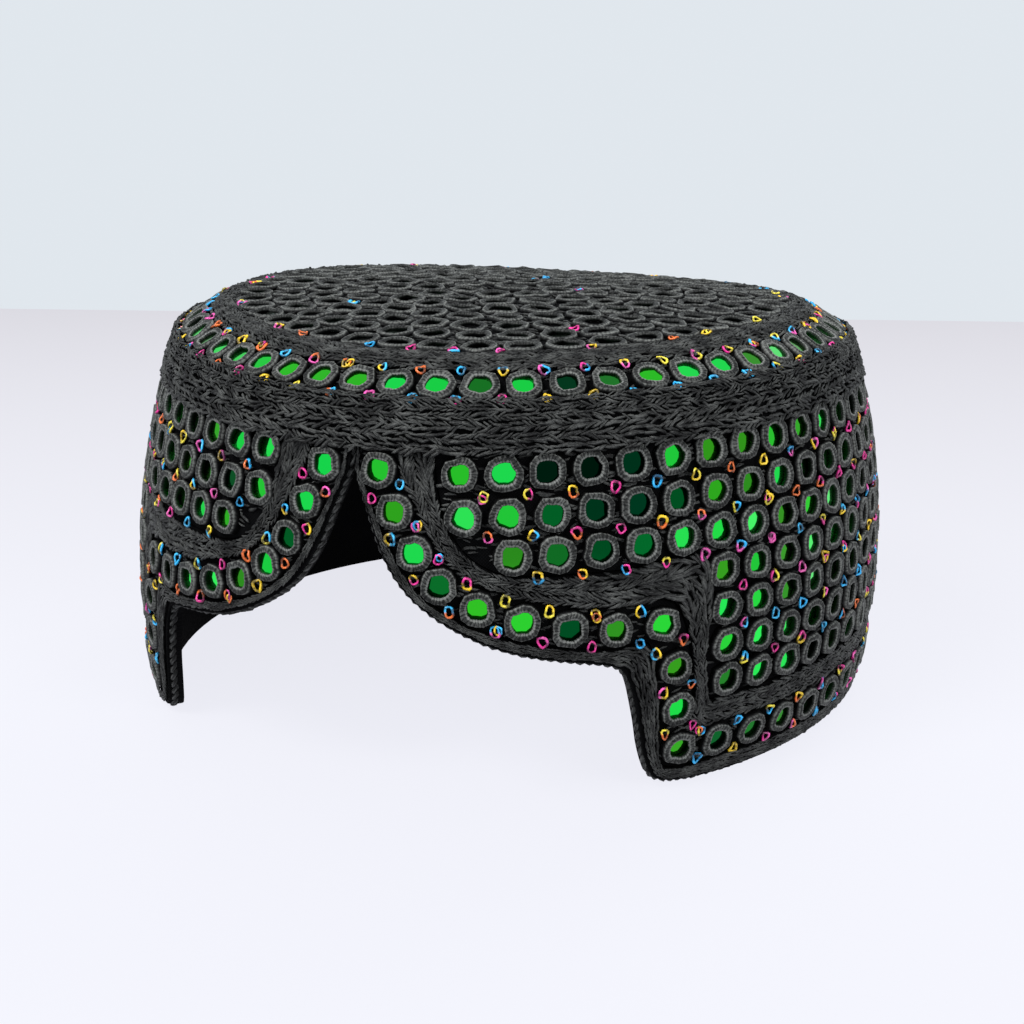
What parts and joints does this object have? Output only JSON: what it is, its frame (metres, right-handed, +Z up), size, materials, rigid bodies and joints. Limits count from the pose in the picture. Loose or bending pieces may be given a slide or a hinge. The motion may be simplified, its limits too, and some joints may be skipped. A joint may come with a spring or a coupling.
{
  "type": "sindhi cap",
  "caption": "Round embroidered mirror-work cap with a low domed crown and an arched notch cut into its front wall.",
  "frame": {"origin": "centre of the cap's footprint, on the surface that the rim rests on", "axes": "+Z up through the crown, -Y out of the arched front, +X to the wearer's left"},
  "size_m": [0.1862, 0.1915, 0.0982],
  "materials": {
    "black_cloth": "matt black woven cotton",
    "black_thread": "plaited black thread",
    "ring_stitching": "black thread worked in rings round mirrors",
    "green_mirror": "green mirrored glass",
    "coloured_thread": "glossy coloured thread loops"
  },
  "bodies": {
    "root": {"side_wall_right": "black_cloth", "side_wall_left": "black_cloth", "crown_shell": "black_cloth", "disc_panel": "ring_stitching", "disc_braid": "black_thread", "shoulder_row": "ring_stitching", "ridge_braid": "black_thread", "mirror_field": "ring_stitching", "frame_braid": "black_thread", "border_right": "ring_stitching", "border_left": "ring_stitching", "rim_band": "ring_stitching", "rim_braid": "black_thread"}
  },
  "joints": []
}
